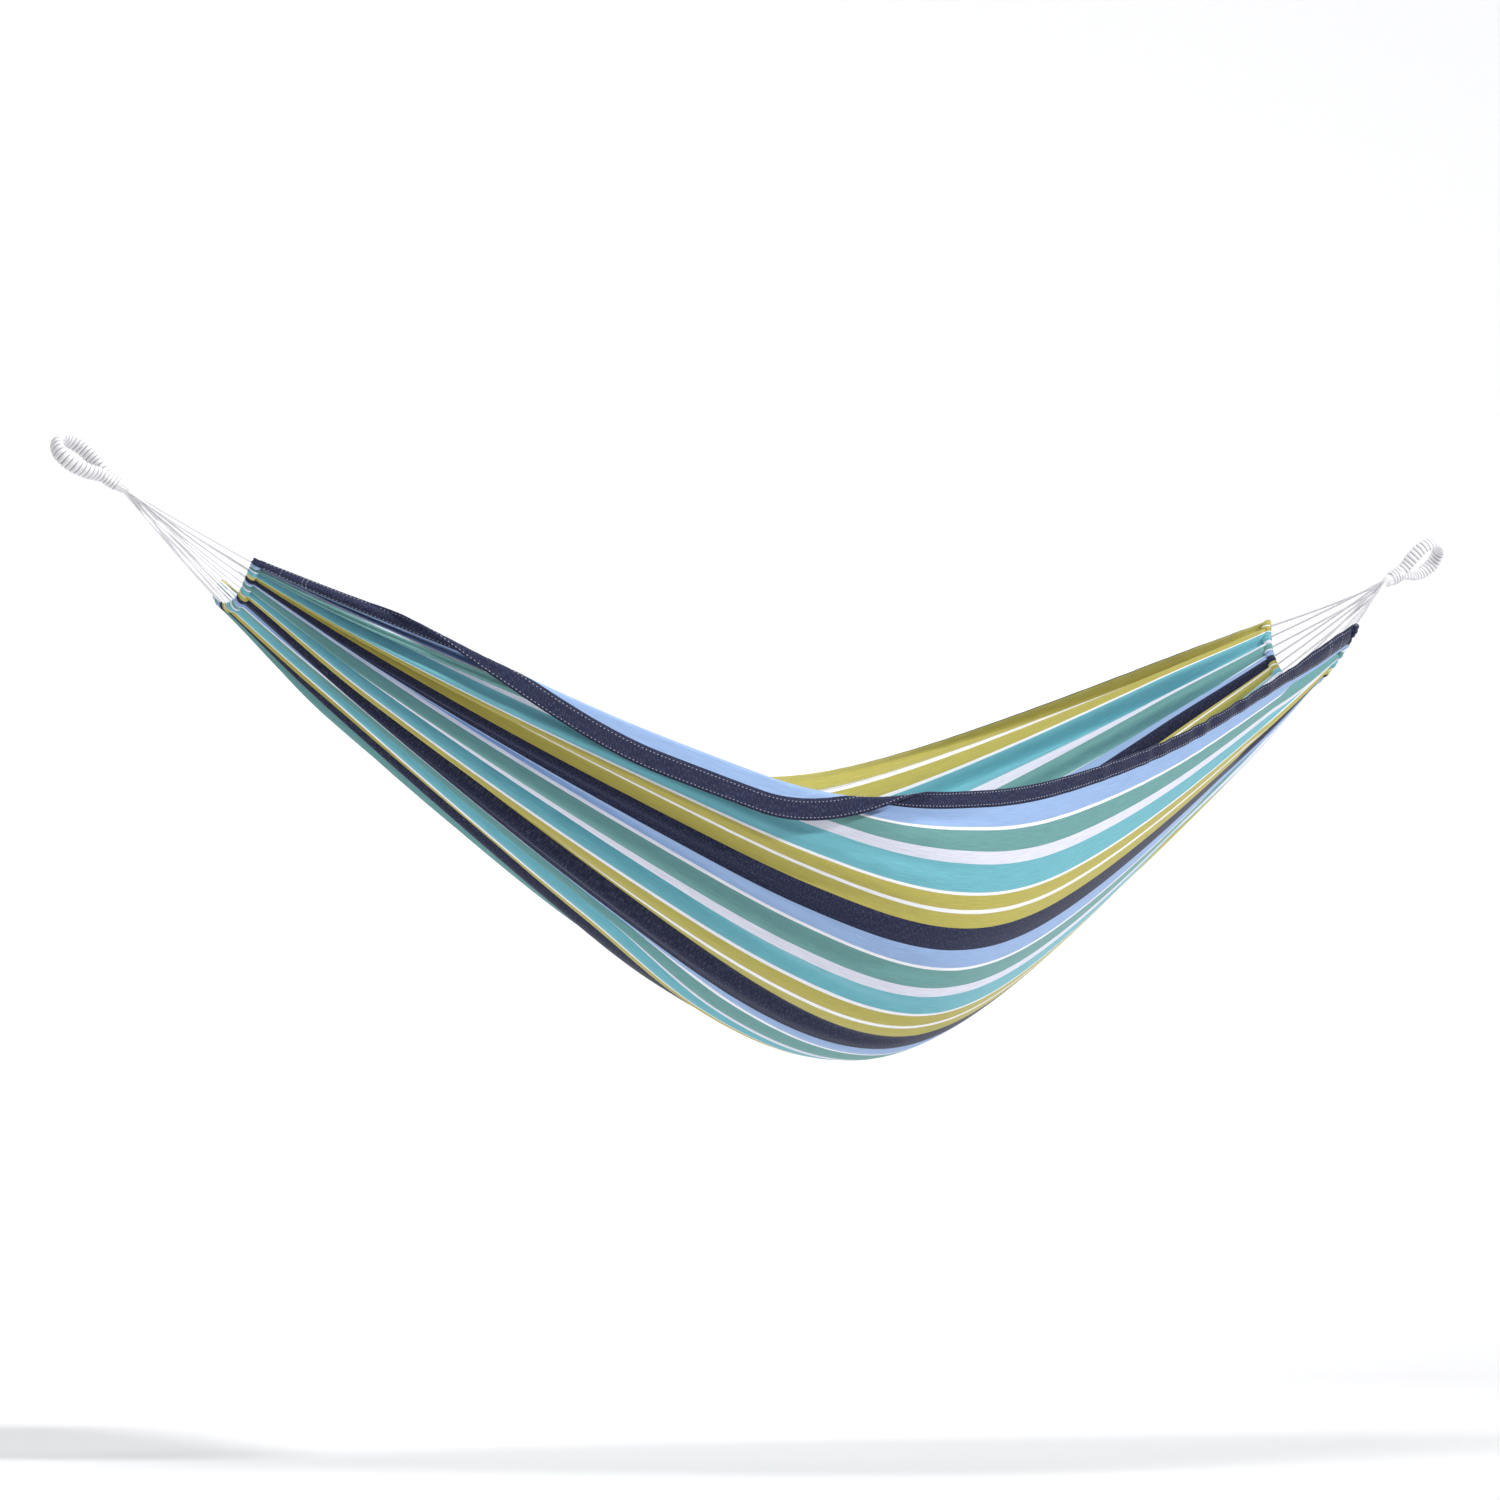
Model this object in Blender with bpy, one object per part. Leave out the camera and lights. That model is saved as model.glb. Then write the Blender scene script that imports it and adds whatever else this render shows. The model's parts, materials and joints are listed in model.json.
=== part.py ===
"""Woven cloth hammock hung from two whipped eyes by fans of clew cords.

Frame: the origin is the bearing point of the left eye, where a hook carries it. +X runs to the
right eye, -Y to the near side of the bed and +Z up. Both hooks are at the same height.
"""
import math

import bmesh
import bpy
import numpy as np

# Driving dimensions, in metres
HOOK_SPAN = 2.57            # from one bearing point to the other
EYE_LENGTH = 0.118          # from a bearing point to the centre of its neck
EYE_SLOPE = math.radians(31)    # how steeply an eye points down towards the bed
EYE_TWIST = math.radians(45)    # how far an eye is turned about its own length
CLEW_REACH = 0.265          # from the neck to the hem rope
CLEW_COUNT = 18             # cords at each end
CLEW_DIAMETER = 0.003
CLOTH_THICKNESS = 0.003
HEM_THICKNESS = 0.004
HEM_SHARE = 0.022           # a side hem's share of the cloth's width
HEM_GAP = 0.0015            # space between a side hem and the bed, as a share of the width
END_SHARE = 0.0045          # what the end sleeve takes of the cloth's length
SLEEVE_RADIUS = 0.006       # of the hem turned round its rope
SLEEVE_BORE = 0.0036
HEM_ROPE_RADIUS = 0.0032
SLEEVE_GAP = 0.0004
GATHER_START = 0.014        # from the neck's centre to the thick end of the gathered cords
GATHER_END = 0.0595
NECK_SETBACK = 0.008        # from the neck's centre back to the end of its whipping
NECK_LENGTH = 0.020
WRAP_GAP = 0.0004
WRAP_WALL = 0.0024
CORE_HALF_DEPTH = 0.0042    # half the bundle's thickness in the plane of the eye
CORE_HALF_WIDTH = 0.0105    # half its width across that plane, round the eye
NECK_HALF_WIDTH = 0.0080    # the same in the neck

# The middle of the bed: (y, z) of the near edge, the lowest line and the far edge
MID_NEAR = (-0.52, -0.574)
MID_LOW = (-0.03, -0.964)
MID_FAR = (0.51, -0.414)
MID_X = (1.334, 1.414)        # where the near and the far edge hang lowest

# How round each line hangs: small is a sharp bend, large a full curve (left half, right half)
ROUND_NEAR = (0.23, 0.37)
ROUND_LOW = (0.26, 0.25)
ROUND_FAR = (0.51, 0.28)

# Directions from the neck to the near edge, the middle and the far edge of the cloth's end;
# a short middle one brings the cloth quickly round to the sides
LEFT_FAN = ((1.02, -0.62, -0.66), (0.39, 0.00, -0.37), (0.82, 0.50, -0.50))
RIGHT_FAN = ((-0.61, -0.60, -0.43), (-0.60, 0.18, -0.72), (-0.49, 0.87, -0.19))

# Half of the eye's centre line: distance from the neck's centre, and from the eye's own axis
EYE_HALF = ((0.008, 0.0048), (0.020, 0.0048), (0.032, 0.0064), (0.044, 0.0120), (0.062, 0.0240),
            (0.087, 0.0320), (0.112, 0.0250), (0.125, 0.0))

COLOURS = {"bed": (0.08, 0.33, 0.36), "hem": (0.03, 0.04, 0.09), "rope": (0.80, 0.79, 0.82)}


def neck_centre(side):
    x = EYE_LENGTH * math.cos(EYE_SLOPE)
    return np.array((x if side == "left" else HOOK_SPAN - x, 0.0,
                     -EYE_LENGTH * math.sin(EYE_SLOPE)))


def fan_direction(side, v):
    """Unit vector from the neck to the cloth's end at share v of the width."""
    near, middle, far = (np.array(d) for d in (LEFT_FAN if side == "left" else RIGHT_FAN))
    d = near * (1 - v) * (1 - 2 * v) + middle * 4 * v * (1 - v) + far * v * (2 * v - 1)
    return d / np.linalg.norm(d)


def fan_point(side, v, reach=CLEW_REACH):
    return neck_centre(side) + reach * fan_direction(side, v)


def edge_to_edge(v, near, far):
    """A value that eases from near to far over the width, as the side of a half circle does."""
    share = (1 - math.cos(math.pi * v)) / 2
    return near * (1 - share) + far * share


def across(v, near, low, far):
    """A value that goes from near to far over the width, and reaches low half way."""
    straight = edge_to_edge(v, near, far)
    return straight + (low - straight) * math.sin(math.pi * v)


def bed_point(s, v):
    """The cloth at share s of its length, from the left, and share v of its width, from near."""
    left, right = fan_point("left", v), fan_point("right", v)
    x = left[0] + (right[0] - left[0]) * s
    low_x = edge_to_edge(v, *MID_X)
    half, end = (0, left) if x < low_x else (1, right)
    roundness = across(v, ROUND_NEAR[half], ROUND_LOW[half], ROUND_FAR[half])
    t = (x - low_x) / (end[0] - low_x)
    rise = math.hypot(t, roundness) - roundness
    rise /= math.hypot(1, roundness) - roundness
    y = edge_to_edge(v, MID_NEAR[0], MID_FAR[0]) + MID_LOW[0] * math.sin(math.pi * v)
    z = across(v, MID_NEAR[1], MID_LOW[1], MID_FAR[1])
    return np.array((x, y + (end[1] - y) * rise, z + (end[2] - z) * rise))


def even_shares(side, count):
    """Shares of the width that stand evenly along the cloth's end."""
    fine = [k / 400 for k in range(401)]
    points = [fan_point(side, v) for v in fine]
    run = np.cumsum([0] + [np.linalg.norm(b - a) for a, b in zip(points, points[1:])])
    return np.interp([(k + 0.5) / count * run[-1] for k in range(count)], run, fine)


def gather_point(side):
    """The gathered cords, from the neck outwards as s grows, with v across the fan."""
    def point(s, v):
        reach = GATHER_START + (GATHER_END - GATHER_START) * s
        return fan_point(side, v, reach)
    return point


def material(name, colour, roughness):
    made = bpy.data.materials.new(name)
    made.use_nodes = True
    shader = made.node_tree.nodes["Principled BSDF"]
    shader.inputs["Base Color"].default_value = (*colour, 1)
    shader.inputs["Roughness"].default_value = roughness
    return made


def finish(name, data, kind, smooth=True):
    """Link a mesh or curve as an object with its own material."""
    piece = bpy.data.objects.new(name, data)
    bpy.context.scene.collection.objects.link(piece)
    data.materials.append(material(name, COLOURS[kind], 0.9))
    if smooth and isinstance(data, bpy.types.Mesh):
        data.shade_smooth()
    return piece


def mesh_from(bm, name):
    bmesh.ops.recalc_face_normals(bm, faces=bm.faces)
    mesh = bpy.data.meshes.new(name)
    bm.to_mesh(mesh)
    bm.free()
    return mesh


def close_rows(bm, first, second):
    """Join two open rows of vertices of the same length with quads."""
    for a, b, c, d in zip(first, first[1:], second[1:], second):
        bm.faces.new((a, b, c, d))


def sheet(name, point, s_range, v_range, steps, thickness, kind):
    """A closed sheet: point(s, v) is its middle, thickness(s) what it measures across."""
    bm = bmesh.new()
    layers = ([], [])
    small = 1e-4
    for i in range(steps[0] + 1):
        s = s_range[0] + (s_range[1] - s_range[0]) * i / steps[0]
        rows = ([], [])
        for j in range(steps[1] + 1):
            v = v_range[0] + (v_range[1] - v_range[0]) * j / steps[1]
            along = point(s + small, v) - point(s - small, v)
            over = point(s, min(v + small, 1)) - point(s, max(v - small, 0))
            normal = np.cross(along, over)
            normal /= np.linalg.norm(normal)
            for row, side in zip(rows, (0.5, -0.5)):
                row.append(bm.verts.new(point(s, v) + normal * side * thickness(s)))
        for layer, row in zip(layers, rows):
            layer.append(row)
    for layer in layers:
        for first, second in zip(layer, layer[1:]):
            close_rows(bm, first, second)
    for k in (0, -1):
        close_rows(bm, layers[0][k], layers[1][k])
        close_rows(bm, [row[k] for row in layers[0]], [row[k] for row in layers[1]])
    return finish(name, mesh_from(bm, name), kind)


def rings_along(bm, centres, flat_axes, half_sizes, sides):
    """A row of elliptic rings square to a path; half_sizes are (off the axis, along the axis)."""
    rings = []
    last = len(centres) - 1
    for k, (centre, axis, sizes) in enumerate(zip(centres, flat_axes, half_sizes)):
        along = centres[min(k + 1, last)] - centres[max(k - 1, 0)]
        out = np.cross(axis, along)
        out /= np.linalg.norm(out)
        ring = []
        for n in range(sides):
            turn = 2 * math.pi * n / sides
            place = centre + out * sizes[0] * math.cos(turn) + axis * sizes[1] * math.sin(turn)
            ring.append(bm.verts.new(place))
        rings.append(ring)
    return rings


def skin(bm, rings):
    for first, second in zip(rings, rings[1:]):
        close_rows(bm, first + first[:1], second + second[:1])


def rod(name, centres, flat_axes, half_sizes, sides, kind):
    """A solid swept along a path, capped at both ends."""
    bm = bmesh.new()
    rings = rings_along(bm, centres, flat_axes, half_sizes, sides)
    skin(bm, rings)
    bm.faces.new(rings[0])
    bm.faces.new(rings[-1])
    return finish(name, mesh_from(bm, name), kind)


def sleeve(name, centres, flat_axes, bores, wall, sides, kind):
    """A tube swept along a path, open at both ends; bores are its inner half sizes."""
    bm = bmesh.new()
    inner = rings_along(bm, centres, flat_axes, bores, sides)
    outer = rings_along(bm, centres, flat_axes, [(a + wall, b + wall) for a, b in bores], sides)
    skin(bm, inner)
    skin(bm, outer)
    for k in (0, -1):
        close_rows(bm, inner[k] + inner[k][:1], outer[k] + outer[k][:1])
    return finish(name, mesh_from(bm, name), kind)


def smooth_path(points, steps):
    """Points on the Catmull-Rom curve through the given ones."""
    points = [np.array(p, dtype=float) for p in points]
    padded = [2 * points[0] - points[1], *points, 2 * points[-1] - points[-2]]
    path = []
    for a, b, c, d in zip(padded, padded[1:], padded[2:], padded[3:]):
        for n in range(steps):
            t = n / steps
            path.append(b + 0.5 * t * (c - a + t * (2 * a - 5 * b + 4 * c - d
                                                    + t * (3 * (b - c) + d - a))))
    return [*path, points[-1]]


def bed_cloth():
    sheet("bed_cloth", bed_point, (END_SHARE, 1 - END_SHARE),
          (HEM_SHARE + HEM_GAP, 1 - HEM_SHARE - HEM_GAP), (32, 20), lambda s: CLOTH_THICKNESS,
          "bed")


def side_hem(name, v_range):
    sheet(name, bed_point, (END_SHARE, 1 - END_SHARE), v_range, (32, 1), lambda s: HEM_THICKNESS,
          "hem")


def end_hem(side):
    """The cloth's end, turned round a rope that the clew cords pull on."""
    shares = [k / 16 for k in range(17)]
    centres = [fan_point(side, v) for v in shares]
    axes = [fan_direction(side, v) for v in shares]
    bore = [(SLEEVE_BORE, SLEEVE_BORE)] * len(shares)
    sleeve(side + "_end_hem", centres, axes, bore, SLEEVE_RADIUS - SLEEVE_BORE, 6, "hem")
    rope = [(HEM_ROPE_RADIUS, HEM_ROPE_RADIUS)] * len(shares)
    rod(side + "_hem_rope", centres, axes, rope, 6, "rope")


def clew_cords(side):
    for k, v in enumerate(even_shares(side, CLEW_COUNT)):
        curve = bpy.data.curves.new("clew", "CURVE")
        curve.dimensions = "3D"
        curve.bevel_depth = CLEW_DIAMETER / 2
        curve.bevel_resolution = 2
        curve.use_fill_caps = True
        spline = curve.splines.new("POLY")
        spline.points.add(1)
        spline.points[0].co = (*fan_point(side, v, GATHER_END + SLEEVE_GAP), 1)
        spline.points[1].co = (*fan_point(side, v, CLEW_REACH - SLEEVE_RADIUS - SLEEVE_GAP), 1)
        finish(f"{side}_clew_{k + 1:02d}", curve, "rope")


def cord_gather(side):
    """The cords laid together, thick at the neck and thinning into the fan."""
    thick, thin = 0.010, CLEW_DIAMETER
    sheet(side + "_cord_gather", gather_point(side), (0, 1), (0.01, 0.99), (4, 16),
          lambda s: thick + (thin - thick) * s, "rope")


def eye(side):
    """The hanging eye: a bundle of cords doubled back on itself, whipped round and at its neck."""
    neck = neck_centre(side)
    bearing = np.array((0.0 if side == "left" else HOOK_SPAN, 0.0, 0.0))
    outward = (bearing - neck) / EYE_LENGTH
    level = np.array((0.0, 1.0, 0.0))
    upright = np.cross(level, outward)
    upright *= math.copysign(1, upright[2])
    turn = EYE_TWIST if side == "left" else -EYE_TWIST
    rise = upright * math.cos(turn) + level * math.sin(turn)
    axis = np.cross(outward, rise)

    half = [(x, y) for x, y in EYE_HALF]
    outline = half + [(x, -y) for x, y in reversed(half[:-1])]
    flat = smooth_path(outline, 3)
    centres = [neck + outward * x + rise * y for x, y in flat]
    spread = [min(max((x - EYE_HALF[1][0]) / 0.03, 0), 1) for x, _ in flat]
    widths = [NECK_HALF_WIDTH + (CORE_HALF_WIDTH - NECK_HALF_WIDTH) * k for k in spread]
    rod(side + "_loop_core", centres, [axis] * len(flat),
        [(CORE_HALF_DEPTH, w) for w in widths], 8, "rope")

    clear = CORE_HALF_DEPTH + WRAP_GAP + WRAP_WALL + WRAP_GAP
    kept = [k for k, (x, y) in enumerate(flat) if x > EYE_HALF[-1][0] / 2 or abs(y) > clear]
    sleeve(side + "_loop_whipping", [centres[k] for k in kept], [axis] * len(kept),
           [(CORE_HALF_DEPTH + WRAP_GAP, widths[k] + WRAP_GAP) for k in kept], WRAP_WALL, 8,
           "rope")

    ends = [neck + outward * (NECK_SETBACK + d) for d in (0, NECK_LENGTH / 2, NECK_LENGTH)]
    room = 0.0020           # lets the legs begin to part inside the whipping
    bore = (EYE_HALF[0][1] + CORE_HALF_DEPTH + WRAP_GAP + room, CORE_HALF_WIDTH + WRAP_GAP)
    sleeve(side + "_neck_whipping", ends, [axis] * 3, [bore] * 3, WRAP_WALL, 12, "rope")


def main():
    for old in list(bpy.data.objects):
        bpy.data.objects.remove(old)
    bed_cloth()
    side_hem("near_side_hem", (0, HEM_SHARE))
    side_hem("far_side_hem", (1 - HEM_SHARE, 1))
    for side in ("left", "right"):
        end_hem(side)
        clew_cords(side)
        cord_gather(side)
        eye(side)


main()
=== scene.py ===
"""A striped cotton hammock: the looks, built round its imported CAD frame.

Run it with Blender. Each piece has an operator of its own, and main() calls them in order.
"""
import json
import math

import bmesh
import bpy
import numpy as np
from bpy.props import FloatProperty, FloatVectorProperty, IntProperty, PointerProperty
from mathutils import Matrix, Vector


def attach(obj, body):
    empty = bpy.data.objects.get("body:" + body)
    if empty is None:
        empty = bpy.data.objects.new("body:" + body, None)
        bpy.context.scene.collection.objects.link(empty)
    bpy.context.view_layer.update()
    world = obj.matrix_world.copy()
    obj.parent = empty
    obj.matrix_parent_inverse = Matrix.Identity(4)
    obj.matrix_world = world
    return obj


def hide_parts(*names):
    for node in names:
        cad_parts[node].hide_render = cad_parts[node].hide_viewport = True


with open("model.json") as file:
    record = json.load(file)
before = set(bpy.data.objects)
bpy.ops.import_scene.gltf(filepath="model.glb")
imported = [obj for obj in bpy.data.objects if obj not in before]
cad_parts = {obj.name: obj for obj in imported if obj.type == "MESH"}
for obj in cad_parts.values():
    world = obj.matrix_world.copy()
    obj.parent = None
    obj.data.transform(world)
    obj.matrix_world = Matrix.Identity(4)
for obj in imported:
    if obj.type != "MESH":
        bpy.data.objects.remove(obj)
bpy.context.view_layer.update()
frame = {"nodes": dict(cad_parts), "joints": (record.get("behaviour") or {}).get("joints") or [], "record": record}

bl_info = {
    "name": "Striped Hammock",
    "version": (1, 0, 0),
    "blender": (4, 5, 0),
    "location": "View3D > Sidebar > Hammock",
    "description": "Cloth, cords and hanging eyes of a striped cotton hammock",
    "category": "Object",
}

# Places that the frame gives
JOINTS = {joint["name"]: joint for joint in frame["joints"]}
LEFT_NECK = np.array(JOINTS["swing"]["pos_m"])
RIGHT_NECK = np.array(JOINTS["right_eye_turn"]["pos_m"])
MOUNTS = {mount["name"]: mount for mount in frame["record"]["mounts"]}
LEFT_HOOK = np.array(MOUNTS["left_hanging_loop"]["pos_m"], dtype=float)
RIGHT_HOOK = np.array(MOUNTS["right_hanging_loop"]["pos_m"], dtype=float)
SIDES = ("left", "right")

# How the bed hangs, the same shape as its CAD solid; metres. A least-squares fit gave most of
# these values and the fans'.
CLEW_REACH = 0.265
CLEW_COUNT = 18
HEM_SHARE = 0.022
MID_NEAR, MID_FAR = (-0.52, -0.574), (0.51, -0.414)
MID_LOW = (-0.03, -0.964)
MID_X = (1.334, 1.414)
ROUND_NEAR, ROUND_LOW, ROUND_FAR = (0.23, 0.37), (0.26, 0.25), (0.51, 0.28)
FANS = {
    "left": ((1.02, -0.62, -0.66), (0.39, 0.00, -0.37), (0.82, 0.50, -0.50)),
    "right": ((-0.61, -0.60, -0.43), (-0.60, 0.18, -0.72), (-0.49, 0.87, -0.19)),
}

# Half of an eye's centre line: distance from the neck, and from the eye's own axis
EYE_HALF = ((0.008, 0.0048), (0.020, 0.0048), (0.032, 0.0064), (0.044, 0.0120), (0.062, 0.0240),
            (0.087, 0.0320), (0.112, 0.0250), (0.125, 0.0))
EYE_TWIST = math.radians(45)
NECK_TURN = 0.0060          # from one turn of the neck's whipping to the next

# The grids' ends stop just inside the turned ends, as a share of the length
CLOTH_END = 0.0015
FOLD_COLUMNS = 0.060        # the near edge's columns stand close together up to this share
ROLL_HALF = (0.0048, 0.0080)    # half sizes of a turned end, off the cloth and along it
HEM_ROPE_RADIUS = 0.0032
STITCH_STEP, STITCH_LENGTH = 0.0028, 0.0017     # shares of the length
STITCH_RADIUS = 0.0007


class ClothSettings(bpy.types.PropertyGroup):
    """The woven cloth of the bed."""

    length: FloatProperty(name="Length", description="Flat length between the end hems",
                          default=2.5, unit="LENGTH")
    width: FloatProperty(name="Width", description="Flat width over both side hems",
                         default=1.5, unit="LENGTH")
    thickness: FloatProperty(name="Thickness", description="One layer of the cloth",
                             default=0.0010, unit="LENGTH")
    hem_thickness: FloatProperty(name="Hem thickness", description="The turned and sewn edge",
                                 default=0.0022, unit="LENGTH")
    repeat: FloatProperty(name="Stripe repeat", description="Width of one run of the stripes",
                          default=0.300, unit="LENGTH")
    pleats: IntProperty(name="Pleats", description="Folds across the cloth's gathered end",
                        default=15)
    pleat_depth: FloatProperty(name="Pleat depth", description="Half the height of a fold",
                               default=0.0215, unit="LENGTH")
    turn_over: FloatProperty(name="Turned-over edge", description="Cloth outside the fold line",
                             default=0.074, unit="LENGTH")
    hem_turn: FloatProperty(name="Hem turn", description="Cloth turned under in the sewn edge",
                            default=0.015, unit="LENGTH")


class CordSettings(bpy.types.PropertyGroup):
    """The clew cords and the eyes."""

    diameter: FloatProperty(name="Cord diameter", description="One clew cord",
                            default=0.0036, unit="LENGTH")
    lay: FloatProperty(name="Lay length", description="One full twist of a cord's strands",
                       default=0.016, unit="LENGTH")
    whipping: FloatProperty(name="Whipping pitch", description="From one turn to the next",
                            default=0.0078, unit="LENGTH")


class ColourSettings(bpy.types.PropertyGroup):
    """Colour of the cords, as a linear value; the stripes' dyes are listed below."""

    cord: FloatVectorProperty(name="Cord", description="Undyed cotton cord", subtype="COLOR",
                              default=(0.90, 0.89, 0.92))


def linear(hex_colour):
    """A linear colour from an sRGB one written as hex."""
    parts = [int(hex_colour[k:k + 2], 16) / 255 for k in (0, 2, 4)]
    return tuple(c / 12.92 if c <= 0.04045 else ((c + 0.055) / 1.055) ** 2.4 for c in parts)


# ---------------------------------------------------------------- shape of the cloth

def unit(vectors):
    return vectors / np.linalg.norm(vectors, axis=-1, keepdims=True)


def smooth_step(x, low, high):
    t = np.clip((x - low) / (high - low), 0, 1)
    return t * t * (3 - 2 * t)


def fan_direction(side, v):
    """Unit vectors from the neck to the cloth's end at shares v of the width."""
    near, middle, far = (np.array(d) for d in FANS[side])
    v = np.asarray(v, dtype=float)[..., None]
    return unit(near * (1 - v) * (1 - 2 * v) + middle * 4 * v * (1 - v) + far * v * (2 * v - 1))


def fan_point(side, v, reach=CLEW_REACH):
    return (LEFT_NECK if side == "left" else RIGHT_NECK) + reach * fan_direction(side, v)


def edge_to_edge(v, near, far):
    share = (1 - np.cos(np.pi * v)) / 2
    return near * (1 - share) + far * share


def across(v, near, low, far):
    straight = edge_to_edge(v, near, far)
    return straight + (low - straight) * np.sin(np.pi * v)


def hung_cloth(s, v):
    """The cloth without its folds: s runs from the left end to the right, v from near to far."""
    s, v = np.broadcast_arrays(np.asarray(s, dtype=float), np.asarray(v, dtype=float))
    left, right = fan_point("left", v), fan_point("right", v)
    x = left[..., 0] + (right[..., 0] - left[..., 0]) * s
    low_x = edge_to_edge(v, *MID_X)
    on_left = x < low_x
    end = np.where(on_left[..., None], left, right)
    roundness = np.where(on_left, across(v, ROUND_NEAR[0], ROUND_LOW[0], ROUND_FAR[0]),
                         across(v, ROUND_NEAR[1], ROUND_LOW[1], ROUND_FAR[1]))
    t = (x - low_x) / (end[..., 0] - low_x)
    rise = (np.hypot(t, roundness) - roundness) / (np.hypot(1, roundness) - roundness)
    y = edge_to_edge(v, MID_NEAR[0], MID_FAR[0]) + MID_LOW[0] * np.sin(np.pi * v)
    z = across(v, MID_NEAR[1], MID_LOW[1], MID_FAR[1])
    return np.stack((x, y + (end[..., 1] - y) * rise, z + (end[..., 2] - z) * rise), -1)


def directions(s, v):
    """Unit vectors along the cloth, over it towards the far edge, and out of its under side."""
    small = 1e-3
    s0, s1 = np.clip(s - small, 0, 1), np.clip(s + small, 0, 1)
    v0, v1 = np.clip(v - small, 0, 1), np.clip(v + small, 0, 1)
    along = unit(hung_cloth(s1, v) - hung_cloth(s0, v))
    over = hung_cloth(s, v1) - hung_cloth(s, v0)
    out = unit(np.cross(over, along))
    return along, unit(over), out


def fold_height(s, v):
    """How far the pleats lift the cloth: deep where it is gathered, nearly flat in the belly.

    The side of a pleat that shows is a broad round tube, and the gap beside it is narrow: outside
    on the near half of the cloth, and inside on the far half.
    """
    cloth = bpy.context.scene.hammock_cloth
    wander = 1.1 * (np.sin(4.3 * s + 3.7 * v) - np.sin(0.43 + 3.7 * v))
    turns = 2 * np.pi * cloth.pleats * (v - 0.012) + wander
    wave = np.cos(turns + 0.55 * np.sin(2 * np.pi * 2.3 * v))
    outside = 1 - 2 * ((1 - wave) / 2) ** 2.6
    inside = 2 * ((1 + wave) / 2) ** 2.6 - 1
    far = smooth_step(v, 0.52, 0.70)
    round_wave = (outside - 0.35) * (1 - far) + (inside + 0.10) * far
    round_wave = round_wave * (0.80 + 0.20 * np.sin(2 * np.pi * 3.1 * v + 1.0))
    crease = 0.14 * np.cos(2.7 * turns + 6.0 * s) * (1 - 0.5 * far)
    from_left = np.clip(1 - s / 0.56, 0, 1) ** 0.8
    reach = edge_to_edge(v, 0.09, 0.52)
    from_right = np.clip(1 - (1 - s) / reach, 0, 1) ** 0.8
    gathered = np.maximum(from_left, from_right)
    # a fold can only be as deep as the gathered cloth lets it
    at_end = 0.28 + 0.72 * smooth_step(np.minimum(s, 1 - s), 0.0, 0.10)
    belly = 0.0022 * np.sin(3.1 * np.pi * v + 4 * s) * np.sin(np.pi * s) ** 2
    under_fold = 1 - 0.9 * turned_over(s) * (1 - smooth_step(v, 0.095, 0.15))
    return cloth.pleat_depth * gathered * at_end * under_fold * (round_wave + crease) + belly


def hem_pucker(s, v):
    """Small waves that the sewn edge draws into the cloth beside it."""
    near = np.exp(-v / 0.030)
    far = np.exp(-(1 - v) / 0.025)
    loose = smooth_step(s, 0.55, 0.68) * smooth_step(1 - s, 0.05, 0.20)
    wave = np.sin(2 * np.pi * 34 * s + 3 * np.sin(17 * s)) + 0.6 * np.sin(2 * np.pi * 57 * s + 1)
    return 0.0011 * wave * (near * (0.4 + 1.2 * loose) + 0.5 * far)


def turned_over(s):
    """How much of the near edge lies outside the fold line, as a share of the most it has."""
    return smooth_step(s, 0.05, 0.30) * (1 - smooth_step(s, 0.37, 0.53))


def drawn_up(s, v):
    """The share of the hung shape where the cloth's share v lies.

    The cloth is drawn up towards the fold, and the stiff near hem lies flat where the rest gathers.
    """
    pull = smooth_step(s, 0.02, 0.35) * (1 - smooth_step(s, 0.42, 0.65))
    drawn = 0.027 * pull * smooth_step(v, 0.0, 0.10) * (1 - smooth_step(v, 0.33, 0.45))
    left = smooth_step(s, 0.0, 0.10) * (1 - smooth_step(s, 0.30, 0.42))
    under = 0.045 * left * smooth_step(v, 0.40, 0.52) * (1 - smooth_step(v, 0.62, 0.85))
    stiff = 0.070 * np.exp(-s / 0.10) + 0.040 * np.exp(-(1 - s) / 0.10)
    flat = stiff * np.minimum(v / HEM_SHARE, 1) * (1 - smooth_step(v, 0.05, 0.50))
    return v - drawn - under + flat


def cloth_surface(s, v):
    """The finished middle of the cloth: hung, pleated, puckered, its near edge turned over."""
    cloth = bpy.context.scene.hammock_cloth
    s, v = np.broadcast_arrays(np.asarray(s, dtype=float), np.asarray(v, dtype=float))
    fold = turned_over(s) * cloth.turn_over / cloth.width
    base = np.maximum(v, fold)
    place = hung_cloth(s, drawn_up(s, base))
    _, over, out = directions(s, drawn_up(s, base))
    place = place + out * (fold_height(s, base) + hem_pucker(s, base))[..., None]
    arch = smooth_step(s, 0.44, 0.55) * (1 - smooth_step(s, 0.62, 0.80))
    place = place - over * (0.014 * arch * (1 - smooth_step(base, 0.02, 0.20)))[..., None]
    # the strip outside the fold line turns about it, round a small radius
    strip = (base - v) * cloth.width
    angle, radius = math.radians(172), 0.0060
    bent = np.minimum(strip / radius, angle)
    flat = strip - bent * radius
    lift = radius * np.sin(bent) + flat * math.cos(angle)
    push = radius * (1 - np.cos(bent)) + flat * math.sin(angle)
    ripple = 0.0025 * np.sin(2 * np.pi * 9 * s + 0.8) * (flat / cloth.turn_over)
    return place - over * lift[..., None] + out * (push + ripple)[..., None]


# ---------------------------------------------------------------- making meshes

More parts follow.
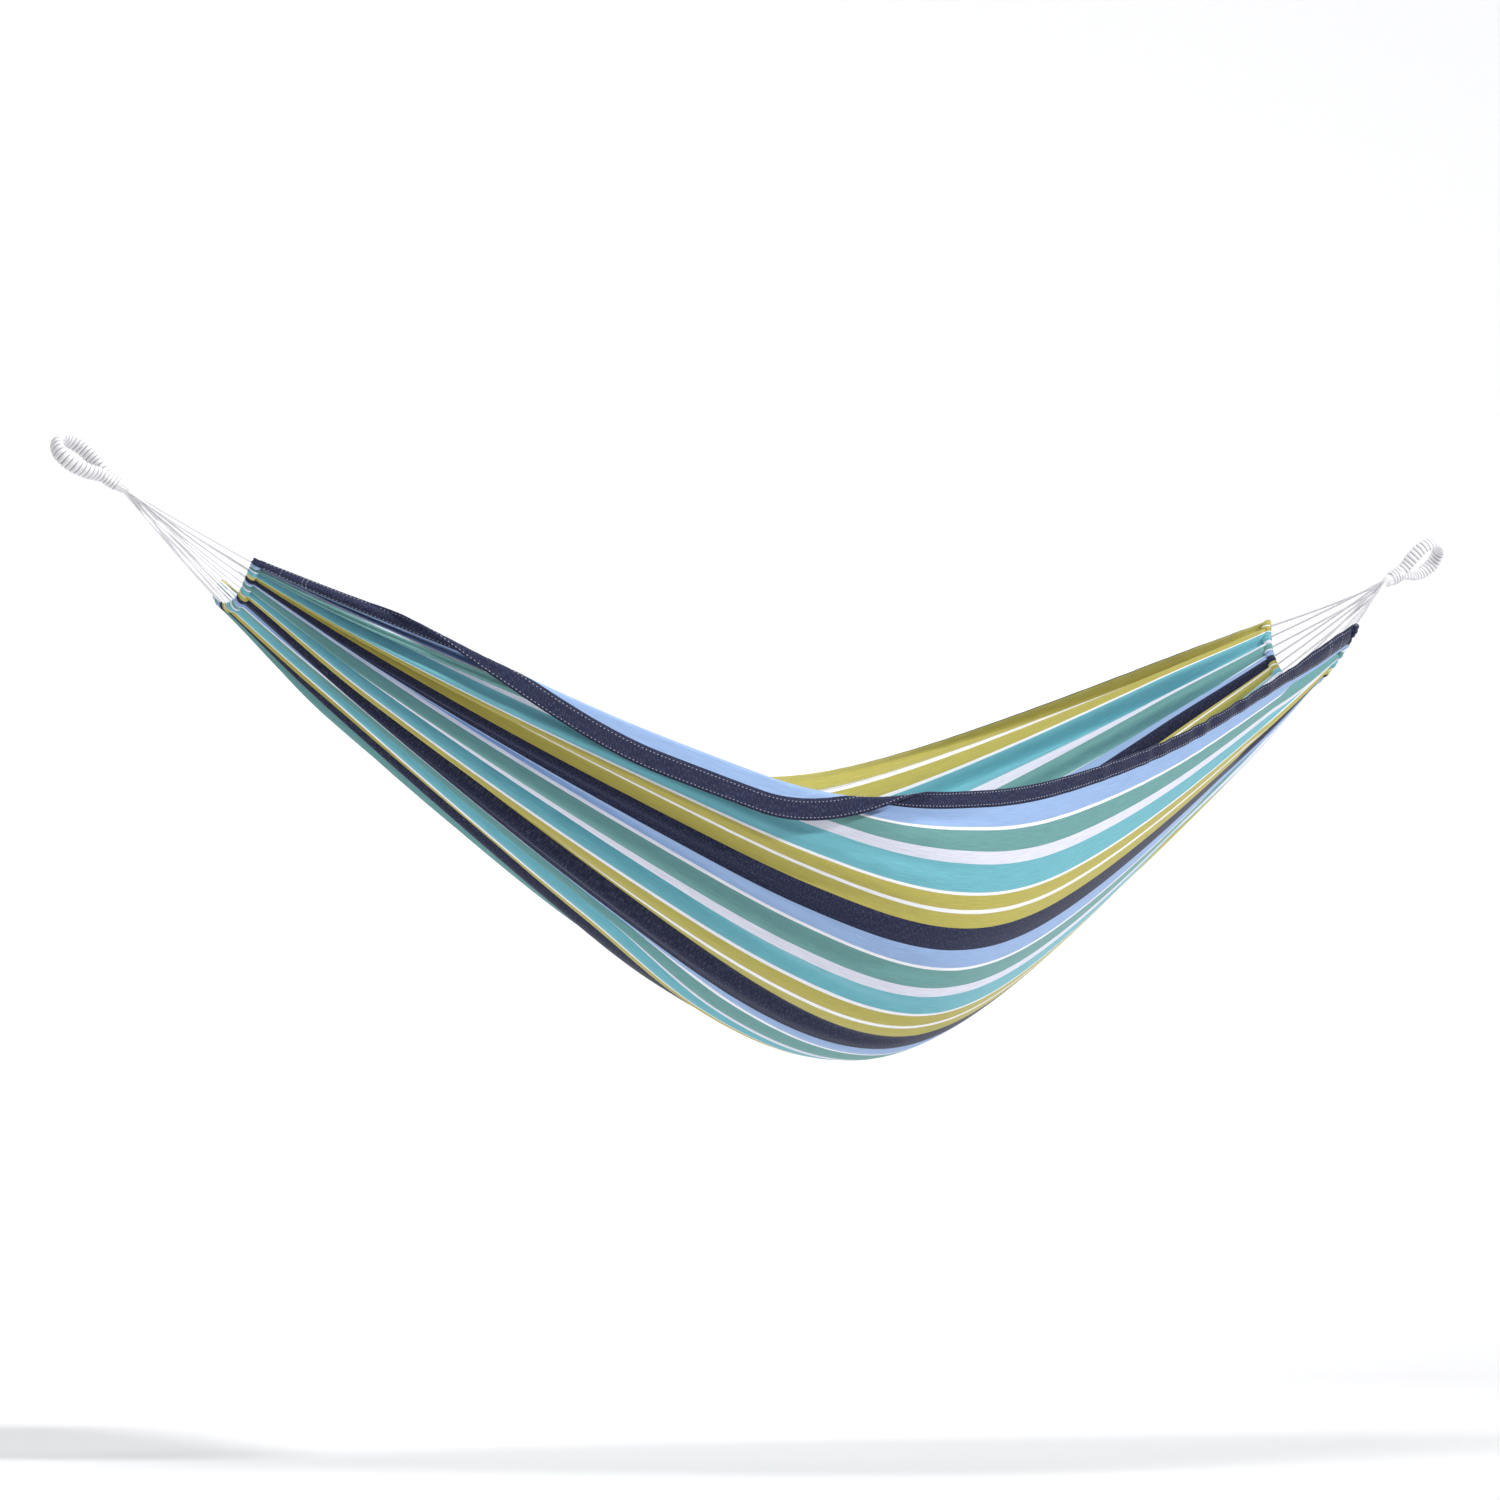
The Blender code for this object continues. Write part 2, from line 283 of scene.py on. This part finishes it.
def wrapped_grid(name, rows, columns, place, closed=False, capped=False):
    """A grid whose points go to place(u, v); closed joins its v ends, capped fills its u ends."""
    bm = bmesh.new()
    bm.loops.layers.uv.new("UVMap")
    bmesh.ops.create_grid(bm, x_segments=rows, y_segments=columns, size=1, calc_uvs=True)
    spots = np.array([vert.co[:2] for vert in bm.verts]) / 2 + 0.5
    points = place(spots[:, 0], spots[:, 1])
    for vert, point in zip(bm.verts, points):
        vert.co = point
    if closed:
        bmesh.ops.remove_doubles(bm, verts=bm.verts, dist=1e-6)
    if capped:
        bmesh.ops.holes_fill(bm, edges=bm.edges, sides=0)
    if closed:
        bmesh.ops.recalc_face_normals(bm, faces=bm.faces)
    return object_from(bm, name)


def object_from(bm, name):
    mesh = bpy.data.meshes.new(name)
    bm.to_mesh(mesh)
    bm.free()
    mesh.shade_smooth()
    piece = bpy.data.objects.new(name, mesh)
    bpy.context.scene.collection.objects.link(piece)
    return piece


def tube(name, path, level, sizes, rows, columns, ridge=None):
    """A closed solid along a path; level is its flat axis, sizes its half sizes off and along it.

    ridge(run, turn) is an extra radius at a run along the path and a turn round it.
    """
    path = np.array(path, dtype=float)
    run = np.concatenate(([0], np.cumsum(np.linalg.norm(np.diff(path, axis=0), axis=1))))
    level = np.broadcast_to(np.array(level, dtype=float), path.shape)
    sizes = np.broadcast_to(np.array(sizes, dtype=float), (len(path), 2))

    def at(values, where):
        return np.stack([np.interp(where, run, values[:, k]) for k in range(values.shape[1])], -1)

    def place(u, v):
        where, turn = u * run[-1], 2 * np.pi * v
        step = run[-1] / rows
        ahead = at(path, np.minimum(where + step, run[-1]))
        along = unit(ahead - at(path, np.maximum(where - step, 0)))
        axis = unit(at(level, where))
        off = unit(np.cross(axis, along))
        axis = np.cross(along, off)
        half = at(sizes, where)
        if ridge is not None:
            half = half + ridge(where, turn)[..., None]
        return (at(path, where) + off * (half[..., 0] * np.cos(turn))[..., None]
                + axis * (half[..., 1] * np.sin(turn))[..., None])

    return wrapped_grid(name, rows, columns, place, closed=True, capped=True)


def path_length(path):
    return float(np.linalg.norm(np.diff(np.array(path), axis=0), axis=1).sum())


def smooth_path(points, steps):
    """Points on the Catmull-Rom curve through the given ones."""
    points = [np.array(p, dtype=float) for p in points]
    padded = [2 * points[0] - points[1], *points, 2 * points[-1] - points[-2]]
    path = []
    for a, b, c, d in zip(padded, padded[1:], padded[2:], padded[3:]):
        for n in range(steps):
            t = n / steps
            path.append(b + 0.5 * t * (c - a + t * (2 * a - 5 * b + 4 * c - d
                                                    + t * (3 * (b - c) + d - a))))
    return np.array([*path, points[-1]])


def run_share(side, shares):
    """The run along the cloth's end at each share of the width, as a share of it all."""
    steps = np.linalg.norm(np.diff(fan_point(side, shares), axis=0), axis=1)
    run = np.concatenate(([0], np.cumsum(steps)))
    return run / run[-1], shares


def even_shares(side, count):
    """Shares of the width that stand evenly along the cloth's end."""
    return np.interp((np.arange(count) + 0.5) / count, *run_share(side, np.linspace(0, 1, 401)))


# ---------------------------------------------------------------- materials

def add(tree, kind, settings=None, **links):
    """Add a node, set its properties, and link or set its inputs by name."""
    node = tree.nodes.new(kind)
    for key, value in (settings or {}).items():
        setattr(node, key, value)
    for key, value in links.items():
        numbered = key[1:].isdigit()
        socket = node.inputs[int(key[1:]) if numbered else key.replace("_", " ")]
        if isinstance(value, bpy.types.NodeSocket):
            tree.links.new(value, socket)
        else:
            socket.default_value = value
    return node


def new_material(name, roughness, sheen):
    made = bpy.data.materials.new(name)
    made.use_nodes = True
    shader = made.node_tree.nodes["Principled BSDF"]
    shader.inputs["Roughness"].default_value = roughness
    shader.inputs["Specular IOR Level"].default_value = 0.25
    shader.inputs["Sheen Weight"].default_value = sheen
    shader.inputs["Sheen Roughness"].default_value = 0.45
    return made, made.node_tree, shader


# One run of the stripes from the near edge: colour, and width in millimetres
STRIPES = (("navy", 50), ("light_blue", 44), ("white", 7), ("sea_green", 45), ("lavender", 25),
           ("turquoise", 54), ("white", 5), ("olive", 29), ("white", 9), ("olive", 32))
DYES = {"navy": "1E2340", "light_blue": "97B3DD", "white": "F6F6FA", "sea_green": "6C9F9D",
        "lavender": "E1E2F0", "turquoise": "70B6C3", "olive": "B9AF57"}


def striped_cotton():
    """Plain-woven, yarn-dyed cotton: matt, softly sheened, each stripe flecked by its weft.

    The threads are about 0.6 mm apart. Their grain is drawn about three times as coarse, so that
    it shows. UV is in metres along and across the cloth.
    """
    cloth = bpy.context.scene.hammock_cloth
    made, tree, shader = new_material("striped_plain_woven_cotton", 0.86, 0.16)
    place = add(tree, "ShaderNodeUVMap", {"uv_map": "UVMap"}).outputs["UV"]
    parts = add(tree, "ShaderNodeSeparateXYZ", _0=place)
    warped = add(tree, "ShaderNodeMapping", Vector=place, Scale=(22.0, 900.0, 1.0)).outputs[0]
    warp = add(tree, "ShaderNodeTexNoise", {"noise_dimensions": "2D"}, Vector=warped, Scale=1.0,
               Detail=3.0, Roughness=0.6).outputs[0]
    wefted = add(tree, "ShaderNodeMapping", Vector=place, Scale=(620.0, 150.0, 1.0)).outputs[0]
    weft = add(tree, "ShaderNodeTexNoise", {"noise_dimensions": "2D"}, Vector=wefted, Scale=1.0,
               Detail=2.0, Roughness=0.55).outputs[0]

    runs = add(tree, "ShaderNodeMath", {"operation": "DIVIDE"}, _0=parts.outputs["Y"],
               _1=cloth.repeat).outputs[0]
    share = add(tree, "ShaderNodeMath", {"operation": "FRACT"}, _0=runs).outputs[0]
    ramp = add(tree, "ShaderNodeValToRGB", Fac=share)
    ramp.color_ramp.interpolation = "CONSTANT"
    total, start = sum(width for _, width in STRIPES), 0
    for k, (dye, width) in enumerate(STRIPES):
        stop = ramp.color_ramp.elements[k] if k < 2 else ramp.color_ramp.elements.new(start / total)
        stop.position = start / total
        stop.color = (*linear(DYES[dye]), 1)
        start += width

    # the white weft shows as pale flecks between the dyed warp threads, most of all on the navy
    fleck = add(tree, "ShaderNodeMapRange", Value=weft, From_Min=0.50, From_Max=0.72, To_Min=0.0,
                To_Max=0.11).outputs[0]
    flecked = add(tree, "ShaderNodeMix", {"data_type": "RGBA"}, _0=fleck,
                  _6=ramp.outputs["Color"], _7=(0.42, 0.46, 0.62, 1)).outputs[2]
    value = add(tree, "ShaderNodeMapRange", Value=warp, From_Min=0.3, From_Max=0.7, To_Min=0.86,
                To_Max=1.10).outputs[0]
    shaded = add(tree, "ShaderNodeVectorMath", {"operation": "SCALE"}, _0=flecked, Scale=value)
    tree.links.new(shaded.outputs[0], shader.inputs["Base Color"])

    grain = add(tree, "ShaderNodeMath", {"operation": "ADD"}, _0=warp, _1=weft).outputs[0]
    bump = add(tree, "ShaderNodeBump", Strength=0.35, Distance=0.0006, Height=grain)
    tree.links.new(bump.outputs[0], shader.inputs["Normal"])
    return made


def cotton_cord(name, grain):
    """Undyed, softly twisted cotton cord: matt and a little fuzzy, with painted shade between its fibres.

    The fibre bundles are about 0.5 mm across; grain is how many there are to a metre.
    """
    colours = bpy.context.scene.hammock_colours
    made, tree, shader = new_material(name, 0.90, 0.35)
    place = add(tree, "ShaderNodeTexCoord").outputs["Object"]
    fibres = add(tree, "ShaderNodeTexNoise", Vector=place, Scale=grain, Detail=3.0,
                 Roughness=0.6).outputs[0]
    # painted shade: the noise that lifts the bump also darkens the cord where the bump sinks, between the fibres
    shade = add(tree, "ShaderNodeMapRange", Value=fibres, From_Min=0.3, From_Max=0.7,
                To_Min=0.84, To_Max=1.04).outputs[0]
    tint = add(tree, "ShaderNodeVectorMath", {"operation": "SCALE"}, _0=tuple(colours.cord),
               Scale=shade)
    tree.links.new(tint.outputs[0], shader.inputs["Base Color"])
    bump = add(tree, "ShaderNodeBump", Strength=0.4, Distance=0.0004, Height=fibres)
    tree.links.new(bump.outputs[0], shader.inputs["Normal"])
    return made


def whipped_cord(pitch):
    """Undyed cotton cord wound in close turns: the same cord, with painted shade darkening the grooves between
    turns.

    UV is in metres along the winding and in whole turns round it, and pitch is one turn's width.
    """
    made = cotton_cord(f"whipped_cotton_cord_{pitch * 1000:.1f}_mm", 1600.0)
    tree = made.node_tree
    shader = tree.nodes["Principled BSDF"]
    tint = shader.inputs["Base Color"].links[0].from_socket
    place = add(tree, "ShaderNodeUVMap", {"uv_map": "UVMap"}).outputs["UV"]
    parts = add(tree, "ShaderNodeSeparateXYZ", _0=place)
    turns = add(tree, "ShaderNodeMath", {"operation": "MULTIPLY_ADD"}, _0=parts.outputs["X"],
                _1=1 / pitch, _2=parts.outputs["Y"]).outputs[0]
    painted_groove_shade_mask = add(tree, "ShaderNodeMath", {"operation": "PINGPONG"}, _0=turns, _1=0.5).outputs[0]
    # painted shade: in a narrow band at each groove between two turns the cord's colour falls to about a third
    shade = add(tree, "ShaderNodeMapRange", Value=painted_groove_shade_mask, From_Min=0.0, From_Max=0.16,
                To_Min=0.34, To_Max=1.0).outputs[0]
    wound = add(tree, "ShaderNodeVectorMath", {"operation": "SCALE"}, _0=tint, Scale=shade)
    tree.links.new(wound.outputs[0], shader.inputs["Base Color"])
    return made


def sewing_thread():
    """Pale polyester sewing thread: a smooth, slightly glossy strand."""
    made, tree, shader = new_material("sewing_thread", 0.5, 0.1)
    place = add(tree, "ShaderNodeTexCoord").outputs["Object"]
    twist = add(tree, "ShaderNodeTexNoise", Vector=place, Scale=1500.0, Detail=1.0).outputs[0]
    shade = add(tree, "ShaderNodeMapRange", Value=twist, To_Min=0.80, To_Max=1.05).outputs[0]
    tint = add(tree, "ShaderNodeVectorMath", {"operation": "SCALE"}, _0=(0.62, 0.64, 0.70),
               Scale=shade)
    tree.links.new(tint.outputs[0], shader.inputs["Base Color"])
    return made


def shared(make, *values):
    """Make a material the first time it is asked for, then reuse it."""
    key = make.__name__ + "".join(f" {v}" for v in values)
    if key not in MATERIALS:
        MATERIALS[key] = make(*values)
    return MATERIALS[key]


MATERIALS = {}


def clothe(piece, made):
    piece.data.materials.clear()
    piece.data.materials.append(made)


# ---------------------------------------------------------------- operators

class HAMMOCK_OT_stage(bpy.types.Operator):
    """Camera, pale floor and backdrop, and soft studio light"""

    bl_idname = "hammock.stage"
    bl_label = "Stage"

    def execute(self, context):
        scene = context.scene
        azimuth, rise, distance = math.radians(22), math.radians(-7.5), 6.8
        target = LEFT_HOOK + np.array((1.200, 0, -0.438))
        forward = np.array((math.sin(azimuth) * math.cos(rise), math.cos(azimuth) * math.cos(rise),
                            -math.sin(rise)))
        camera = bpy.data.cameras.new("camera")
        camera.sensor_width = 36
        camera.lens = 95.4
        camera.clip_end = 100
        eye = bpy.data.objects.new("camera", camera)
        scene.collection.objects.link(eye)
        eye.location = target - forward * distance
        eye.rotation_euler = Vector(forward).to_track_quat("-Z", "Y").to_euler()
        scene.camera = eye

        paper, tree, shader = new_material("white_studio_paper", 0.9, 0.0)
        shader.inputs["Base Color"].default_value = (0.93, 0.93, 0.935, 1)
        floor_z, wall_y, bend = -1.66, 7.0, 2.0
        bm = bmesh.new()
        start = [bm.verts.new((-20, -14, floor_z)), bm.verts.new((-20, wall_y - bend, floor_z))]
        profile = [bm.edges.new(start)]
        swept = bmesh.ops.spin(bm, geom=start[1:], cent=(-20, wall_y - bend, floor_z + bend),
                               axis=(1, 0, 0), angle=math.pi / 2, steps=16, use_duplicate=False)
        top = swept["geom_last"][0]
        roof = bm.verts.new((-20, wall_y, floor_z + 12))
        bm.edges.new((top, roof))
        wide = bmesh.ops.extrude_edge_only(bm, edges=bm.edges[:])
        moved = [item for item in wide["geom"] if isinstance(item, bmesh.types.BMVert)]
        bmesh.ops.translate(bm, verts=moved, vec=(44, 0, 0))
        bmesh.ops.recalc_face_normals(bm, faces=bm.faces)
        sweep = object_from(bm, "studio_sweep")
        clothe(sweep, paper)

        scene.view_settings.view_transform = "Standard"
        world = bpy.data.worlds.new("studio")
        scene.world = world
        world.use_nodes = True
        background = world.node_tree.nodes["Background"]
        background.inputs["Color"].default_value = (0.97, 0.98, 1.0, 1)
        background.inputs["Strength"].default_value = 0.30

        middle = LEFT_HOOK + np.array((1.3, 0, -0.6))
        for name, kind, place, size, power in (("key", "SUN", (2.4, -3.4, 2.1), 0.10, 2.35),
                                               ("top", "AREA", (-0.9, -1.6, 3.4), 1.2, 80),
                                               ("back", "AREA", (1.2, 4.5, 3.5), 4.0, 60)):
            light = bpy.data.lights.new(name, kind)
            light.energy = power
            if kind == "SUN":
                light.angle = size
            else:
                light.size = size
            lamp = bpy.data.objects.new(name, light)
            scene.collection.objects.link(lamp)
            lamp.location = middle + np.array(place)
            lamp.rotation_euler = Vector(-np.array(place)).to_track_quat("-Z", "Y").to_euler()
        return {"FINISHED"}


def cord_route(side, v, k):
    """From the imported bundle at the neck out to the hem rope, with the least of a sag."""
    neck = LEFT_NECK if side == "left" else RIGHT_NECK
    hook = LEFT_HOOK if side == "left" else RIGHT_HOOK
    outward = unit(hook - neck)
    across_axis = np.array((0.0, 1.0, 0.0))
    upright = np.cross(outward, across_axis)
    ring = 0.0072 * math.sqrt((k + 0.5) / CLEW_COUNT)
    turn = k * math.pi * (3 - math.sqrt(5))
    packed = across_axis * math.cos(turn) * ring + upright * math.sin(turn) * ring
    end = fan_point(side, v)
    start = neck + outward * 0.010 + packed
    near = neck - outward * 0.006 + packed * 0.9
    points = [start, near]
    for share in (0.25, 0.5, 0.75, 1.0):
        sag = 0.0022 * math.sin(math.pi * share) * (0.5 + (k * 7 % 5) / 4)
        points.append(near + (end - near) * share - np.array((0, 0, sag)))
    return smooth_path(points, 6)


class HAMMOCK_OT_cords(bpy.types.Operator):
    """Clew cords, from the neck of each eye to the cloth"""

    bl_idname = "hammock.cords"
    bl_label = "Clew cords"

    def execute(self, context):
        cords = context.scene.hammock_cords
        for side in SIDES:
            for k, v in enumerate(even_shares(side, CLEW_COUNT)):
                name = f"{side}_clew_{k + 1:02d}"
                path = cord_route(side, v, k)

                def strands(run, turn):
                    return 0.00028 * np.cos(3 * (turn - 2 * np.pi * run / cords.lay))

                half = cords.diameter / 2
                piece = tube(f"{name}_cord", path, (0, 0.3, 1), (half, half), 90, 12, strands)
                clothe(piece, shared(cotton_cord, "undyed_cotton_cord", 2000.0))
                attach(piece, "bed")
                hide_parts(name)
        return {"FINISHED"}


class HAMMOCK_OT_bed(bpy.types.Operator):
    """The striped bed, its two side hems and its gathered end hems"""

    bl_idname = "hammock.bed"
    bl_label = "Bed cloth"

    def execute(self, context):
        cloth = context.scene.hammock_cloth
        cotton = shared(striped_cotton)

        def run(u):
            return CLOTH_END + (1 - 2 * CLOTH_END) * u

        def bed_share(v):
            """Columns of the grid stand close together round the fold of the near edge."""
            close = 0.16
            beyond = (v - close) / (1 - close)
            return np.where(v < close, HEM_SHARE + (FOLD_COLUMNS - HEM_SHARE) * v / close,
                            FOLD_COLUMNS + (1 - HEM_SHARE - FOLD_COLUMNS) * beyond)

        def bed_place(u, v):
            return cloth_surface(run(u), bed_share(v))

        bed = wrapped_grid("striped_bed", 180, 268, bed_place)
        set_uv(bed, lambda u, v: (u * cloth.length, stripe_place(bed_share(v))))
        trim = [bed]
        for name, low, high in (("near_side_hem", 0.0, HEM_SHARE + 0.0008),
                                ("far_side_hem", 1 - HEM_SHARE - 0.0008, 1.0)):
            def hem_place(u, v, low=low, high=high):
                return cloth_surface(run(u), low + (high - low) * v)

            hem = wrapped_grid(name.replace("side_hem", "sewn_edge"), 420, 8, hem_place)
            set_uv(hem, lambda u, v, low=low, high=high: (
                u * cloth.length, stripe_place(low + (high - low) * v)))
            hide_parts(name)
            trim.append(hem)
        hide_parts("bed_cloth")
        for piece, thickness, slot in zip(
                trim, (cloth.thickness, cloth.hem_thickness, cloth.hem_thickness),
                ("striped_cotton", "hem_cotton", "olive_cotton")):
            thick = piece.modifiers.new("thickness", "SOLIDIFY")
            thick.thickness = thickness
            thick.offset = 0
            clothe(piece, cotton)
            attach(piece, "bed")

        for side in SIDES:
            shares = np.linspace(0.0, 1.0, 121)
            path = fan_point(side, shares)
            level = fan_direction(side, shares)

            pitch = path_length(path) / CLEW_COUNT

            def folds(run, turn, pitch=pitch):
                lobe = 1 - np.abs(np.cos(np.pi * run / pitch)) ** 4
                crease = np.sin(2 * np.pi * run / pitch * 2.6 + 2 * np.sin(70 * run))
                return 0.0036 * lobe * (0.55 + 0.45 * np.sin(turn)) + 0.0006 * crease

            sleeve = tube(f"{side}_turned_end", path, level, ROLL_HALF, 360, 24, folds)
            set_uv(sleeve, lambda u, v, side=side: (v * 0.04, stripe_place(cloth_share(side, u))))
            clothe(sleeve, cotton)
            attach(sleeve, "bed")
            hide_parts(f"{side}_end_hem")
            trim.append(sleeve)
            rope = tube(f"{side}_rope_in_hem", path, level, (HEM_ROPE_RADIUS,) * 2, 200, 12,
                        lambda run, turn: 0.0004 * np.cos(3 * (turn - 2 * np.pi * run / 0.02)))
            clothe(rope, shared(cotton_cord, "laid_cotton_rope", 1500.0))
            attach(rope, "bed")
            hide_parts(f"{side}_hem_rope")
        return {"FINISHED"}


def cloth_share(side, u):
    """The cloth's share of the width at a share u of the run along its gathered end."""
    fine = np.linspace(0, 1, 401)
    hung = np.interp(u, *run_share(side, fine))
    return np.interp(hung, drawn_up(0.0 if side == "left" else 1.0, fine), fine)


def stripe_place(v):
    """Where a share of the width stands in the run of stripes: the sewn edge hides the start."""
    cloth = bpy.context.scene.hammock_cloth
    return cloth.hem_turn + v * (cloth.width - cloth.hem_turn)


def set_uv(piece, scale):
    """Rewrite a piece's 0 to 1 UV as metres; scale(u, v) gives the new pair."""
    layer = piece.data.uv_layers["UVMap"].data
    flat = np.empty(len(layer) * 2)
    layer.foreach_get("uv", flat)
    u, v = scale(flat[0::2].copy(), flat[1::2].copy())
    flat[0::2], flat[1::2] = u, v
    layer.foreach_set("uv", flat)


class HAMMOCK_OT_stitching(bpy.types.Operator):
    """Rows of stitches along the sewn edges, and across them at the corners"""

    bl_idname = "hammock.stitching"
    bl_label = "Stitching"

    def execute(self, context):
        cloth = context.scene.hammock_cloth
        for name, edge, inward in (("near", 0.0, 1), ("far", 1.0, -1)):
            spots, ends = [], []
            for inset in (0.13, 0.90):
                v = edge + inward * HEM_SHARE * inset
                s = np.arange(0.006, 0.994, STITCH_STEP)
                spots.append(np.stack((s, np.full_like(s, v)), -1))
                ends.append(np.stack((s + STITCH_LENGTH, np.full_like(s, v)), -1))
            for s in (0.018, 0.034, 0.037, 0.963, 0.966, 0.982):
                v = edge + inward * np.arange(0.001, HEM_SHARE, 0.0038)
                spots.append(np.stack((np.full_like(v, s), v), -1))
                ends.append(np.stack((np.full_like(v, s), v + inward * 0.0024), -1))
            spots, ends = np.concatenate(spots), np.concatenate(ends)
            starts = cloth_surface(spots[:, 0], spots[:, 1])
            along = cloth_surface(ends[:, 0], ends[:, 1]) - starts
            beside = cloth_surface(spots[:, 0] + 0.0004 * (spots[:, 1] != ends[:, 1]),
                                   spots[:, 1] + 0.0006 * (spots[:, 0] != ends[:, 0])) - starts
            normal = unit(np.cross(along, beside))
            beside = unit(np.cross(normal, along))
            bm = bmesh.new()
            bmesh.ops.create_uvsphere(bm, u_segments=6, v_segments=4, radius=1)
            stitch = bpy.data.meshes.new("stitch")
            bm.to_mesh(stitch)
            bm.clear()
            for middle, *axes in zip(starts + along / 2, along / 2, beside * STITCH_RADIUS,
                                     normal * (cloth.hem_thickness / 2 + 0.0006)):
                one = stitch.copy()
                one.transform(Matrix.Translation(Vector(middle))
                              @ Matrix(np.array(axes).T.tolist()).to_4x4())
                bm.from_mesh(one)
                bpy.data.meshes.remove(one)
            bpy.data.meshes.remove(stitch)
            bmesh.ops.recalc_face_normals(bm, faces=bm.faces)
            piece = object_from(bm, f"{name}_edge_stitching")
            clothe(piece, shared(sewing_thread))
            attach(piece, "bed")
        return {"FINISHED"}


def winding(pitch, height):
    """Extra radius of a cord wound round a piece in turns of a pitch, each a round ridge."""
    def ridge(run, turn):
        part = (run / pitch + turn / (2 * np.pi)) % 1
        return height * np.sqrt(np.maximum(1 - (2 * part - 1) ** 2, 0.0))
    return ridge


class HAMMOCK_OT_eyes(bpy.types.Operator):
    """The hanging eyes: whipped loops, whipped necks and the cords gathered into them"""

    bl_idname = "hammock.eyes"
    bl_label = "Hanging eyes"

    def execute(self, context):
        cords = context.scene.hammock_cords
        for side in SIDES:
            neck = LEFT_NECK if side == "left" else RIGHT_NECK
            hook = LEFT_HOOK if side == "left" else RIGHT_HOOK
            outward = unit(hook - neck)
            level = np.array((0.0, 1.0, 0.0))
            upright = np.cross(level, outward)
            upright = upright * math.copysign(1, upright[2])
            turn = EYE_TWIST if side == "left" else -EYE_TWIST
            rise = upright * math.cos(turn) + level * math.sin(turn)
            axis = np.cross(outward, rise)
            body = f"{side}_loop"

            half = [(x, y) for x, y in EYE_HALF if x > 0.018]
            outline = half + [(x, -y) for x, y in reversed(half[:-1])]
            path = np.array([neck + outward * x + rise * y for x, y in smooth_path(outline, 8)])
            along_eye = (path - neck) @ outward
            spread = smooth_step(along_eye, 0.020, 0.055)[:, None]
            sizes = np.array((0.0044, 0.0080)) * (1 - spread) + np.array((0.0048, 0.0110)) * spread

            eye = tube(f"{side}_whipped_eye", path, axis, sizes, 520, 40,
                       winding(cords.whipping, 0.0034))
            neck_path = [neck + outward * d for d in (0.006, 0.012, 0.020, 0.030)]
            neck_sizes = [(0.0105, 0.0098), (0.0112, 0.0108), (0.0120, 0.0112), (0.0124, 0.0108)]

            collar = tube(f"{side}_whipped_neck", neck_path, axis, neck_sizes, 96, 40,
                          winding(NECK_TURN, 0.0028))

            nose_path = [neck + outward * d for d in (0.012, 0.004, -0.004, -0.014)]
            nose_sizes = [(0.0095, 0.0095), (0.0100, 0.0100), (0.0092, 0.0104), (0.0046, 0.0066)]
            nose = tube(f"{side}_gathered_cords", nose_path, (0, 1, 0), nose_sizes, 24, 72,
                        lambda run, turn: 0.0009 * np.cos(16 * turn))
            for piece, pitch, pathway in ((eye, cords.whipping, path),
                                          (collar, NECK_TURN, np.array(neck_path))):
                length = path_length(pathway)
                set_uv(piece, lambda u, v, length=length: (u * length, v))
                clothe(piece, shared(whipped_cord, pitch))
            clothe(nose, shared(cotton_cord, "whipped_cotton_cord", 1600.0))
            for piece, node, rides, slot in (
                    (eye, f"{side}_loop_whipping", body, "whipping_cord"),
                    (collar, f"{side}_neck_whipping", body, "whipping_cord"),
                    (nose, f"{side}_cord_gather", "bed", "clew_cord")):
                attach(piece, rides)
                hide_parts(node)
            clothe_node(f"{side}_loop_core", shared(cotton_cord, "undyed_cotton_cord", 2000.0))
        return {"FINISHED"}


def clothe_node(name, made):
    """Give a CAD node that stays in view a material of its own."""
    data = frame["nodes"][name].data
    for k in range(max(len(data.materials), 1)):
        if k < len(data.materials):
            data.materials[k] = made
        else:
            data.materials.append(made)


class HAMMOCK_PT_panel(bpy.types.Panel):
    """The hammock's pieces and sizes"""

    bl_label = "Hammock"
    bl_space_type = "VIEW_3D"
    bl_region_type = "UI"
    bl_category = "Hammock"

    def draw(self, context):
        layout = self.layout
        for step in STEPS:
            layout.operator(step)
        for group in ("hammock_cloth", "hammock_cords", "hammock_colours"):
            settings = getattr(context.scene, group)
            box = layout.box()
            for key in settings.bl_rna.properties.keys():
                if key not in ("rna_type", "name"):
                    box.prop(settings, key)


STEPS = ("hammock.stage", "hammock.cords", "hammock.bed", "hammock.stitching", "hammock.eyes")
CLASSES = (ClothSettings, CordSettings, ColourSettings, HAMMOCK_OT_stage, HAMMOCK_OT_cords,
           HAMMOCK_OT_bed, HAMMOCK_OT_stitching, HAMMOCK_OT_eyes, HAMMOCK_PT_panel)


def register():
    for kind in CLASSES:
        bpy.utils.register_class(kind)
    bpy.types.Scene.hammock_cloth = PointerProperty(type=ClothSettings)
    bpy.types.Scene.hammock_cords = PointerProperty(type=CordSettings)
    bpy.types.Scene.hammock_colours = PointerProperty(type=ColourSettings)


def unregister():
    for name in ("hammock_cloth", "hammock_cords", "hammock_colours"):
        delattr(bpy.types.Scene, name)
    for kind in reversed(CLASSES):
        bpy.utils.unregister_class(kind)


def main():
    register()
    for step in STEPS:
        group, name = step.split(".")
        getattr(getattr(bpy.ops, group), name)()


if __name__ == "__main__":
    main()
